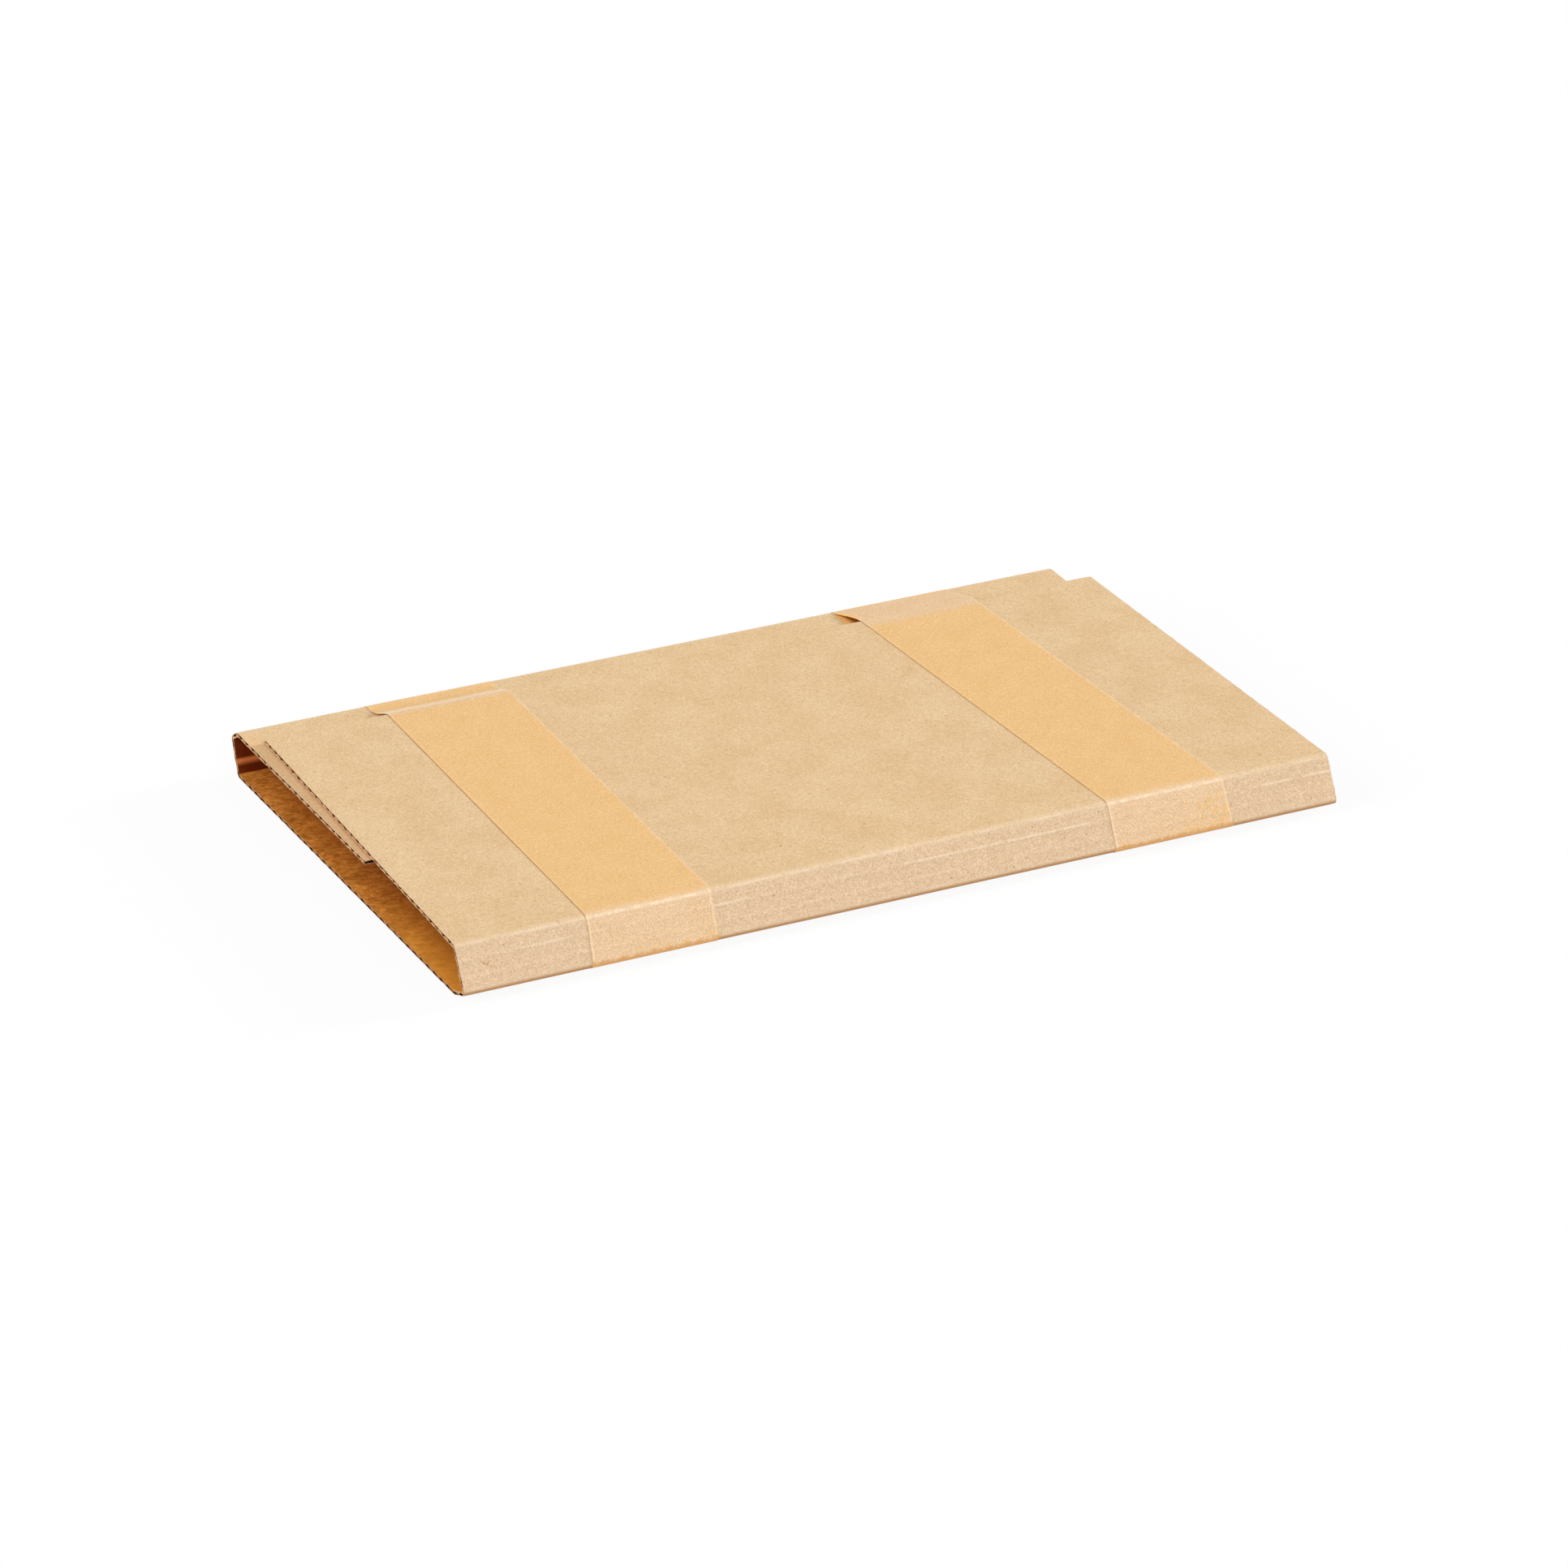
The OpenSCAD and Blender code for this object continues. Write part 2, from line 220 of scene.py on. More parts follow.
class Sheet:
    """The sheet's middle surface, seen along +X, by the distance along it from the top flap's free edge."""

    def __init__(self, corners):
        corners = np.array(corners, float)
        ways = np.diff(corners, axis=0)
        self.ways = ways / np.linalg.norm(ways, axis=1)[:, None]
        cross = self.ways[:-1, 0] * self.ways[1:, 1] - self.ways[:-1, 1] * self.ways[1:, 0]
        dot = (self.ways[:-1] * self.ways[1:]).sum(axis=1)
        self.turns = np.concatenate([[0.0], np.arctan2(cross, dot), [0.0]])
        before = np.vstack([self.ways[:1], self.ways])
        after = np.vstack([self.ways, self.ways[-1:]])
        along = before + after
        along /= np.linalg.norm(along, axis=1)[:, None]
        inset = BOARD_THICKNESS / 2 / np.cos(self.turns / 2)
        self.middle = corners - np.column_stack([along[:, 1], -along[:, 0]]) * inset[:, None]
        self.radius = FOLD_RADIUS + BOARD_THICKNESS / 2
        self.tangent = self.radius * np.tan(np.abs(self.turns) / 2)
        self.arc = self.radius * np.abs(self.turns)
        spans = np.linalg.norm(np.diff(self.middle, axis=0), axis=1)
        self.run = spans - self.tangent[:-1] - self.tangent[1:]
        self.start = np.cumsum(np.concatenate([[0.0], self.run[:-1] + self.arc[1:-1]]))
        self.depth = self.start[-1] + self.run[-1]
        self.fold = self.start[1:] - self.arc[1:-1] / 2

    def at(self, s):
        """Point on the middle surface and the way out of the wrap there."""
        i = min(max(int(np.searchsorted(self.start, s, side="right")) - 1, 0), len(self.run) - 1)
        way = self.ways[i]
        out = np.array([way[1], -way[0]])
        point = self.middle[i] + way * (self.tangent[i] + s - self.start[i])
        past = s - self.start[i] - self.run[i]
        if past <= 0 or i == len(self.run) - 1:
            return point, out
        side = 1.0 if self.turns[i + 1] > 0 else -1.0
        swept = side * past / self.radius
        spun = np.array([out[0] * math.cos(swept) - out[1] * math.sin(swept),
                         out[0] * math.sin(swept) + out[1] * math.cos(swept)])
        centre = point - way * past - side * out * self.radius
        return centre + side * spun * self.radius, spun

    def stations(self, first, last, step):
        """Distances from first to last: close together round each fold, and step apart between the folds."""
        marks = [first, last]
        for i, turn in enumerate(self.turns[1:-1]):
            count = max(2, math.ceil(abs(turn) / ARC_STEP))
            low = self.start[i] + self.run[i]
            marks += [low + self.arc[i + 1] * k / count for k in range(count + 1)]
        marks = sorted(mark for mark in set(marks) if first <= mark <= last)
        filled = []
        for here, beyond in zip(marks, marks[1:]):
            count = max(1, math.ceil((beyond - here) / step))
            filled += [here + (beyond - here) * k / count for k in range(count)]
        return np.array(filled + [last])


def sheet_corners():
    """Corners of the outer face, as depth and height over the bottom panel, from top flap to back flap."""
    back = np.array([BOTTOM_DEPTH / 2, 0.0])
    front = -back
    slope = (BACK_WALL[0] - SCORE_STEP[0]) / (BACK_WALL[1] - SCORE_STEP[1])
    score_low = back + SCORE_RISE * np.array([slope, 1.0])
    score_high = score_low + SCORE_STEP
    wall_top = back + BACK_WALL
    fold_top = wall_top + [-BACK_FOLD[0], BACK_FOLD[1]]
    flap_end = fold_top - [BACK_FLAP_DEPTH, BACK_FLAP_DROP]
    foot = front + [-FRONT_FOOT[0], FRONT_FOOT[1]]

    def lapped(y):
        """Height of the top flap's outer face where it lies on the back flap."""
        return fold_top[1] - BACK_FLAP_DROP * (fold_top[0] - y) / BACK_FLAP_DEPTH + FLAP_GAP + BOARD_THICKNESS

    top_y = foot[0] + FRONT_WALL_LEAN
    top = np.array([top_y, lapped(top_y) + FRONT_LIFT])
    end_y = top_y + TOP_FLAP_DEPTH
    down = (foot - top) / np.linalg.norm(foot - top)
    out = np.array([down[1], -down[0]])
    scores = []
    for share in (1 / 3, 2 / 3):
        score = top + share * (foot - top)
        scores += [score - BULGE_ABOVE * down, score + FRONT_BULGE * out, score + BULGE_BELOW * down]
    return [np.array([end_y, lapped(end_y)]), top, *scores, foot, front,
            back, score_low, score_high, wall_top, fold_top, flap_end]


sheet = Sheet(sheet_corners())

# Places of folds in the list of corners
FRONT_FOLD = 1
FRONT_FOOT_CORNER = 8
BOTTOM_FRONT = 9
BOTTOM_BACK = 10
SCORE_LOW = 11
SCORE_HIGH = 12
BACK_FOLD_CORNER = 14

flutes = round(sheet.depth / NOMINAL_PITCH)
pitch = sheet.depth / flutes

# Where the sheet lies in the frame
outer_places = [sheet.at(s) for s in sheet.stations(0, sheet.depth, 5)]
outer_line = np.array([point + out * BOARD_THICKNESS / 2 for point, out in outer_places])
board_low, board_high = (np.array(corner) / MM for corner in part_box("wrap_board"))
shift_y = (board_low[1] + board_high[1]) / 2 - (outer_line[:, 0].min() + outer_line[:, 0].max()) / 2
shift_z = board_low[2] - outer_line[:, 1].min()


def fold_s(corner):
    """Distance along the sheet of the middle of a fold."""
    return float(sheet.fold[corner - 1])


def smooth(value, low, high):
    """Rises smoothly from 0 at low to 1 at high."""
    t = np.clip((np.asarray(value, float) - low) / (high - low), 0, 1)
    return t * t * (3 - 2 * t)


def rough_line(values, step, seed):
    """Smooth random heights along a list of distances, mostly from -1 to 1, in three sizes of step."""
    total = np.zeros(len(values))
    for octave in range(3):
        size = step / 2 ** octave
        row = seed + 7.3 * octave
        total += np.array([noise.noise((value / size, row, 0.0)) for value in values]) / 2 ** octave
    return total


def left_end(s):
    """x of the cut left edge at each distance along the sheet."""
    inset = TOP_FLAP_INSET * np.clip(1 - s / fold_s(FRONT_FOLD), 0, 1)
    return LEFT_END + inset


def right_end(s):
    """x of the cut right edge at each distance along the sheet."""
    share = (s - fold_s(BOTTOM_FRONT)) / (fold_s(BOTTOM_BACK) - fold_s(BOTTOM_FRONT))
    return BOARD_LENGTH / 2 - BACK_SHORTFALL * np.clip(share, 0, 1)


def free_edge(x):
    """Distance along the sheet at which the top flap's slanted free edge lies."""
    return TOP_FLAP_SKEW * (x + BOARD_LENGTH / 2) / BOARD_LENGTH


def warp(s, x):
    """How far the board lies below its flat face: a slight unevenness, never above it."""
    return -sum(depth * (1 + noise.noise((x / x_size, s / s_size, place)))
                for depth, x_size, s_size, place in UNEVEN)


def warp_grid(s, x):
    """The same unevenness over grids of distance along the sheet and x."""
    sinks = [warp(along, across) for along, across in zip(s.ravel(), x.ravel())]
    return np.array(sinks).reshape(s.shape)


# Meshes

def make_object(name, points, faces, slots, materials, coords, extra):
    """A mesh object from millimetre points, with the sheet's own coordinates kept for its materials."""
    mesh = bpy.data.meshes.new(name)
    mesh.from_pydata((points * MM).tolist(), [], faces.tolist())
    for material in materials:
        mesh.materials.append(material)
    mesh.polygons.foreach_set("material_index", slots)
    attribute = mesh.attributes.new("sheet_mm", "FLOAT_VECTOR", "POINT")
    attribute.data.foreach_set("vector", np.asarray(coords, np.float32).ravel())
    for key, values in extra.items():
        attribute = mesh.attributes.new(key, "FLOAT", "POINT")
        attribute.data.foreach_set("value", np.asarray(values, np.float32))
    mesh.update()
    mesh.shade_smooth()
    mesh.set_sharp_from_angle(angle=SHARP_TURN)
    obj = bpy.data.objects.new(name, mesh)
    bpy.context.scene.collection.objects.link(obj)
    return obj


def closed_grid(upper, lower):
    """Points and faces of a thin solid between two grids: slot 0 above, 1 on the cut sides and 2 below."""
    rows, cols = upper.shape[:2]
    points = np.concatenate([upper.reshape(-1, 3), lower.reshape(-1, 3)])
    size = rows * cols
    index = np.arange(size).reshape(rows, cols)
    a, b, c, d = index[:-1, :-1], index[1:, :-1], index[1:, 1:], index[:-1, 1:]
    top = np.stack([a, d, c, b], axis=-1).reshape(-1, 4)
    under = np.stack([a, b, c, d], axis=-1).reshape(-1, 4) + size
    sides = []
    for line in (index[:, 0], index[-1, :], index[::-1, -1], index[0, ::-1]):
        sides.append(np.stack([line[:-1], line[1:], line[1:] + size, line[:-1] + size], axis=-1))
    faces = np.concatenate([top, under, *sides])
    slots = np.repeat([0, 2, 1], [len(top), len(under), len(faces) - len(top) - len(under)])
    return points, faces, slots


def edge_columns():
    """Shares across the board from its left end to its right, closer together near both ends."""
    near = np.array(END_COLUMNS) / BOARD_LENGTH
    even_from = EVEN_COLUMNS_FROM / BOARD_LENGTH
    return np.concatenate([near, np.linspace(even_from, 1 - even_from, LINER_COLUMNS), 1 - near[::-1]])


def lay_on_sheet(s, x, height):
    """Places in the frame for grids of distance along the sheet, x, and height out of its middle."""
    known, back = np.unique(s.ravel().round(4), return_inverse=True)
    places = [sheet.at(distance) for distance in known]
    point = np.array([place[0] for place in places])[back]
    out = np.array([place[1] for place in places])[back]
    yz = point + out * (height + warp_grid(s, x)).ravel()[:, None]
    return np.column_stack([x.ravel(), yz[:, 0] + shift_y, yz[:, 1] + shift_z]).reshape(*s.shape, 3)


def fold_nearness(s, reach):
    """1 on a fold's line and 0 past the given reach from it."""
    gaps = np.abs(s.ravel()[:, None] - sheet.fold[None, :])
    worn_and_lit = np.abs(sheet.turns[1:-1]) > WORN_AND_LIT_TURN
    return 1 - smooth(gaps[:, worn_and_lit].min(axis=1), 0, reach)


def ragged(s, x_left, x_right, shares, seed):
    """x over the grid, with both cut edges slightly ragged."""
    rag_left = RAGGED * rough_line(s, RAGGED_STEP, seed)
    rag_right = RAGGED * rough_line(s, RAGGED_STEP, seed + 40)
    left = x_left + np.clip(rag_left + RAGGED, 0, None)
    right = x_right - np.clip(rag_right + RAGGED, 0, None)
    return left[:, None] + (right - left)[:, None] * shares[None, :]


def liner(name, side, materials):
    """One of the sheet's two flat papers: side is 1 for the outer one and -1 for the inner one."""
    s_line = sheet.stations(0, sheet.depth, LINER_ROW_STEP)
    x = ragged(s_line, left_end(s_line), right_end(s_line), edge_columns(), seed=11.0 * side)
    s = s_line[:, None] + free_edge(x) * np.clip(1 - s_line / SLANT_REACH, 0, 1)[:, None]
    crushed = np.maximum(1 - smooth(x - x[:, :1], 0, CRUSH_REACH), 1 - smooth(x[:, -1:] - x, 0, CRUSH_REACH))
    uneven = rough_line(s_line, CRUSH_STEP, seed=5.0 + 3 * side)[:, None]
    face = side * BOARD_THICKNESS / 2
    back = side * (BOARD_THICKNESS / 2 - LINER_THICKNESS)
    wave = np.cos(2 * math.pi * s / pitch)
    washboard = WASHBOARD * (wave * side - 1)
    if side > 0:
        drop = CRUSH_DEPTH * crushed * (1 + uneven)
        upper = face + washboard - drop
        lower = back - drop
    else:
        crest = 0.5 - 0.5 * wave
        upper = back + crushed * (TORN_RISE[0] + TORN_RISE[1] * uneven + CRUSHED_FILL * crest)
        curled = face + crushed * (INNER_CURL[0] + INNER_CURL[1] * uneven) - washboard
        lower = np.maximum(curled, face - INNER_BULGE)
    points, faces, slots = closed_grid(lay_on_sheet(s, x, upper), lay_on_sheet(s, x, lower))
    coords = np.concatenate([np.column_stack([x.ravel(), s.ravel(), upper.ravel()]),
                             np.column_stack([x.ravel(), s.ravel(), lower.ravel()])])
    wear_and_highlight = np.tile(fold_nearness(s, FOLD_WEAR_AND_HIGHLIGHT_REACH), 2)
    return make_object(name, points, faces, slots, materials, coords, {"fold_wear_and_highlight": wear_and_highlight})


def fluted_paper(name, materials):
    """The wavy paper between the two liners, cut along the top flap's slanted free edge."""
    s_line = np.linspace(FLUTE_FIRST_INSET, sheet.depth - FLUTE_LAST_INSET, flutes * FLUTE_ROWS)
    cut = LEFT_END + BOARD_LENGTH * s_line / TOP_FLAP_SKEW
    left = left_end(s_line)
    right = np.minimum(right_end(s_line), np.maximum(cut, left + FLUTE_LEAST_WIDTH))
    x = ragged(s_line, left + FLUTE_INSET, right - FLUTE_INSET, np.array(FLUTE_COLUMNS), seed=23.0)
    s = np.repeat(s_line[:, None], x.shape[1], axis=1)
    swing = BOARD_THICKNESS / 2 - LINER_THICKNESS - FLUTE_PAPER_THICKNESS / 2 + FLUTE_BITE
    near_end = 1 - smooth(x - x[:, :1], 0, FLUTE_BEND_REACH)
    bend = near_end * FLUTE_BEND * rough_line(s_line, FLUTE_BEND_STEP, seed=31.0)[:, None]
    middle = -swing * np.cos(2 * math.pi * s / pitch) + bend
    points, faces, slots = closed_grid(lay_on_sheet(s, x, middle + FLUTE_PAPER_THICKNESS / 2),
                                       lay_on_sheet(s, x, middle - FLUTE_PAPER_THICKNESS / 2))
    coords = np.tile(np.column_stack([x.ravel(), s.ravel(), middle.ravel()]), (2, 1))
    return make_object(name, points, faces, slots, materials, coords, {})


def step_places(band):
    """Where a band leaves the free edge, the place on the back flap under that, and where it lands."""
    leave = float(free_edge(band["left"][1]))
    fold = float(sheet.start[BACK_FOLD_CORNER])
    over = fold + sheet.at(fold)[0][0] - (sheet.at(0)[0][0] - leave)
    return leave, over, over - band["bridge"]


def stuck_share(s, leave, over, pale):
    """How far the tape is stuck down: wholly on the flaps, and hardly at the step and on the two walls."""
    front, foot = fold_s(FRONT_FOLD), fold_s(FRONT_FOOT_CORNER)
    under, back = fold_s(BOTTOM_BACK), fold_s(BACK_FOLD_CORNER)
    behind, before = pale
    shares = {
        leave: 0, leave + 0.3 * before: 0.2, leave + before: 1,
        front - 2.6: 1, front + 1.4: 0,
        foot - 1.8: 0.1, foot + 0.4: 1,
        under - 2: 1, under + 2: 0.2,
        back - 2: 0.2, back + 1: 1,
        over - behind - 1: 0.9, over - behind + 1: 0,
    }
    return np.interp(s, list(shares.keys()), list(shares.values()))


def tape_band(name, band, materials):
    """A band of tape: from under the bottom round the back, over the step, and round to its own start."""
    leave, over, land = step_places(band)
    front, foot = fold_s(FRONT_FOLD), fold_s(FRONT_FOOT_CORNER)
    middle = (fold_s(BOTTOM_FRONT) + fold_s(BOTTOM_BACK)) / 2
    lap_start, lap_end = middle - TAPE_LAP / 2, middle + TAPE_LAP / 2
    first = sheet.stations(lap_start, land, TAPE_ROW_STEP)
    last = np.union1d(sheet.stations(leave, lap_end, TAPE_ROW_STEP), lap_start - np.array(LAP_RISE_ROWS))
    span = np.linspace(0, 1, SPAN_ROWS + 2)[1:-1]

    def on_board(distances):
        """Points on the board's outer face, and the ways out of it."""
        places = [sheet.at(s) for s in distances]
        outs = np.array([place[1] for place in places])
        return np.array([place[0] for place in places]) + outs * BOARD_THICKNESS / 2, outs

    first_point, first_out = on_board(first)
    last_point, last_out = on_board(last)
    step = last_point[0] - first_point[-1]
    way = step / np.linalg.norm(step)
    point = np.concatenate([first_point, first_point[-1] + step * span[:, None], last_point])
    normal = np.concatenate([first_out, np.tile([way[1], -way[0]], (len(span), 1)), last_out])
    s_all = np.concatenate([first, land + span * band["bridge"], last])
    spanned = np.repeat([0.0, 1.0, 0.0], [len(first), len(span), len(last)])
    span_share = np.concatenate([np.zeros(len(first)), span, np.zeros(len(last))])
    over_start = smooth(last, lap_start - LAP_RISE_ROWS[0], lap_start)
    lap_rise = np.concatenate([np.zeros(len(first) + len(span)), TAPE_THICKNESS * over_start])

    def edge_x(values):
        """x of one of the band's edges in each row, from its four places."""
        around = np.interp(s_all, [leave, front, foot, land], [values[1], values[2], values[3], values[0]])
        aside = smooth(span_share, band["jog_from"], 1)
        return np.where(spanned > 0, values[0] + (values[1] - values[0]) * aside, around)

    left = edge_x(band["left"])[:, None]
    right = edge_x(band["right"])[:, None]
    x = left + (right - left) * np.array(TAPE_COLUMNS)[None, :]
    from_left = x - left
    from_right = right - x
    s_grid = np.repeat(s_all[:, None], x.shape[1], axis=1)
    arch = np.sin(math.pi * span_share)[:, None]
    loose_edge = band["span_lift"] * arch * (1 - smooth(from_left, 0, SPAN_EDGE_REACH))
    edge_lift = TAPE_EDGE_LIFT * (1 - smooth(np.minimum(from_left, from_right), 0, TAPE_EDGE_REACH))
    flat_height = np.minimum(TAPE_THICKNESS + edge_lift + warp_grid(s_grid, x), CAD_TAPE_THICKNESS)
    upper_height = flat_height + lap_rise[:, None] + loose_edge
    lower_height = upper_height - TAPE_THICKNESS + TAPE_GAP

    def place(height):
        """Places in the frame for a grid of heights over the board's outer face."""
        yz = point[:, None, :] + normal[:, None, :] * height[:, :, None]
        return np.stack([x, yz[..., 0] + shift_y, yz[..., 1] + shift_z], axis=-1)

    points, faces, slots = closed_grid(place(upper_height), place(lower_height))
    coords = np.tile(np.column_stack([x.ravel(), s_grid.ravel(), np.zeros(x.size)]), (2, 1))
    tacky_from, tacky_to = TACKY_PAST_FOLD
    on_wall = smooth(s_grid, front + tacky_from, front + tacky_to) * (1 - smooth(s_grid, foot, foot + 1))
    tacky = band["tacky"] * (on_wall * smooth(from_left / TAPE_WIDTH, TACKY_FROM_SHARE, 1))
    stuck = stuck_share(s_grid, leave, over, band["pale"]) + tacky
    span_highlight = np.repeat(spanned * band["span_highlight"], x.shape[1])
    per_face = {"fold_wear_and_highlight": fold_nearness(s_grid, FOLD_WEAR_AND_HIGHLIGHT_REACH), "stuck": stuck, "left_rim_mm": from_left,
                "right_rim_mm": from_right, "lifted": loose_edge / SPAN_EDGE_LIFT, "span_highlight": span_highlight}
    extra = {key: np.tile(values.ravel(), 2) for key, values in per_face.items()}
    return make_object(name, points, faces, slots, materials, coords, extra)


# Materials

# How strongly a change of tone acts on red, green and blue, the values that most of a noise lies between, the
# size of the fibres in millimetres, and how far the painted shadow at a band's step slants across for each
# millimetre along the sheet
WARM_SHADE = (0.85, 1.0, 1.3)
NOISE_SPREAD = (0.3, 0.7)
FIBRE_LENGTH = 1.5
FIBRE_WIDTH = 0.3
SHADOW_SLANT = 0.08


class Shader:
    """A node material, with short calls for the nodes that it is made of."""

    def __init__(self, name):
        self.material = bpy.data.materials.new(name)
        self.material.use_nodes = True
        self.tree = self.material.node_tree
        self.surface = self.tree.nodes["Principled BSDF"]

    def node(self, kind, settings=None, **inputs):
        made = self.tree.nodes.new(kind)
        for key, value in (settings or {}).items():
            setattr(made, key, value)
        for key, value in inputs.items():
            self.put(made.inputs[key.replace("_", " ")], value)
        return made

    def put(self, socket, value):
        if isinstance(value, bpy.types.NodeSocket):
            self.tree.links.new(value, socket)
        else:
            socket.default_value = value

    def sheet(self, stretch=(1.0, 1.0, 1.0), turn=0.0, move=(0.0, 0.0, 0.0)):
        """The sheet's own coordinates in millimetres, turned in its plane and then stretched."""
        source = self.node("ShaderNodeAttribute", {"attribute_name": "sheet_mm"}).outputs["Vector"]
        spun = self.node("ShaderNodeVectorRotate", {"rotation_type": "Z_AXIS"}, Vector=source, Angle=turn)
        return self.node("ShaderNodeMapping", {"vector_type": "POINT"}, Vector=spun.outputs["Vector"],
                         Scale=stretch, Location=move).outputs["Vector"]

    def value(self, name):
        return self.node("ShaderNodeAttribute", {"attribute_name": name}).outputs["Fac"]

    def noise(self, vector, scale, detail, roughness=0.5):
        return self.node("ShaderNodeTexNoise", None, Vector=vector, Scale=scale, Detail=detail,
                         Roughness=roughness).outputs["Fac"]

    def between(self, value, low, high, to_low=0.0, to_high=1.0):
        """Value carried from one range to another, held at both ends."""
        settings = {"clamp": True, "interpolation_type": "SMOOTHSTEP"}
        made = self.node("ShaderNodeMapRange", settings, Value=value)
        self.put(made.inputs["From Min"], low)
        self.put(made.inputs["From Max"], high)
        self.put(made.inputs["To Min"], to_low)
        self.put(made.inputs["To Max"], to_high)
        return made.outputs["Result"]

    def math(self, operation, a, b):
        made = self.node("ShaderNodeMath", {"operation": operation})
        self.put(made.inputs[0], a)
        self.put(made.inputs[1], b)
        return made.outputs[0]

    def times(self, *parts):
        """The product of all the parts."""
        product = parts[0]
        for part in parts[1:]:
            product = self.math("MULTIPLY", product, part)
        return product

    def mix(self, share, a, b, blend="MIX"):
        made = self.node("ShaderNodeMix", {"data_type": "RGBA", "blend_type": blend})
        self.put(made.inputs[0], share)
        self.put(made.inputs[6], a)
        self.put(made.inputs[7], b)
        return made.outputs[2]

    def tint(self, colour, share, code):
        """A colour carried by a share towards one that is written as six hexadecimal digits."""
        return self.mix(share, colour, linear(code))

    def axes(self):
        """Distance across the board and distance along the sheet, in millimetres."""
        source = self.node("ShaderNodeAttribute", {"attribute_name": "sheet_mm"}).outputs["Vector"]
        parts = self.node("ShaderNodeSeparateXYZ", None, Vector=source)
        return parts.outputs["X"], parts.outputs["Y"]

    def line(self, value, place, reach):
        """1 at a place along an axis and 0 past the given reach from it."""
        gap = self.math("ABSOLUTE", self.math("SUBTRACT", value, place), 0.0)
        return self.between(gap, 0.0, reach, 1.0, 0.0)

    def window(self, value, rise, fall, top=1.0):
        """Rises from 0 to the top between the first two places, and falls to 0 between the last two."""
        return self.times(self.between(value, *rise, 0.0, top), self.between(value, *fall, 1.0, 0.0))

    def spot(self, x, s, length, width, turn):
        """1 within a small oval mark and 0 outside it."""
        across = math.cos(turn) * x - math.sin(turn) * s
        along = math.sin(turn) * x + math.cos(turn) * s
        move = (-2 * across / length, -2 * along / width, 0.0)
        vector = self.sheet((2 / length, 2 / width, 0.0), turn, move)
        reach = self.node("ShaderNodeVectorMath", {"operation": "LENGTH"}, Vector=vector).outputs["Value"]
        return self.between(reach, 0.5, 1.0, 1.0, 0.0)

    def shade(self, colour, value, gain):
        """A colour made lighter where value is over a half, and darker and warmer where it is under."""
        swing = self.times(self.math("SUBTRACT", value, 0.5), gain)
        tone = self.node("ShaderNodeVectorMath", {"operation": "MULTIPLY_ADD"})
        self.put(tone.inputs[0], swing)
        self.put(tone.inputs[1], WARM_SHADE)
        self.put(tone.inputs[2], (1.0, 1.0, 1.0))
        return self.mix(1.0, colour, tone.outputs[0], "MULTIPLY")

    def bump(self, height, distance, strength):
        return self.node("ShaderNodeBump", None, Height=height, Distance=distance,
                         Strength=strength).outputs["Normal"]

    def finish(self, colour, roughness, normal, specular):
        self.put(self.surface.inputs["Base Color"], colour)
        self.put(self.surface.inputs["Roughness"], roughness)
        self.put(self.surface.inputs["Normal"], normal)
        self.put(self.surface.inputs["Specular IOR Level"], specular)
        return self.material


def fibres(shader, colour, turn, move, limits, share, code):
    """A colour with thin short streaks that lie one way."""
    vector = shader.sheet((1 / FIBRE_LENGTH, 1 / FIBRE_WIDTH, 1.0), turn, move)
    streak = shader.between(shader.noise(vector, scale=1.0, detail=1.0), *limits)
    return shader.tint(colour, shader.times(streak, share), code)


def step_shadow(shader, colour, across, along, band):
    """A colour with a painted shadow, warm orange-brown, on the board under a band's lifted left edge at the
    step.
    """
    over = step_places(band)[1]
    pale_from = over - band["pale"][0]
    landing, leaving = band["left"][:2]
    slant = shader.times(shader.math("SUBTRACT", along, pale_from), SHADOW_SLANT)
    slanted = shader.math("ADD", across, slant)
    corner = shader.times(shader.between(slanted, landing - 0.3, landing + 0.3),
                          shader.between(across, leaving + 1.0, leaving + 4.0, 1.0, 0.0),
                          shader.window(along, (pale_from - 0.5, pale_from + 2.5), (over + 5.0, over + 7.0)))
    brown = shader.mix(shader.between(across, landing + 1.0, leaving), linear("efb86e"), linear("aa621a"))
    return shader.mix(corner, colour, brown)


def band_edge_shadow(shader, colour, across, along, band):
    """A colour with a painted brown shadow line that runs beside a band's left edge on the top flap."""
    front = fold_s(FRONT_FOLD)
    leaving, at_fold = band["left"][1:3]
    beside = shader.math("SUBTRACT", across, shader.times(along, (at_fold - leaving) / front))
    line = shader.times(shader.line(beside, leaving - 0.1, 0.5),
                        shader.between(along, front, front + 1.0, 0.42, 0.0))
    return shader.tint(colour, line, "c07838")


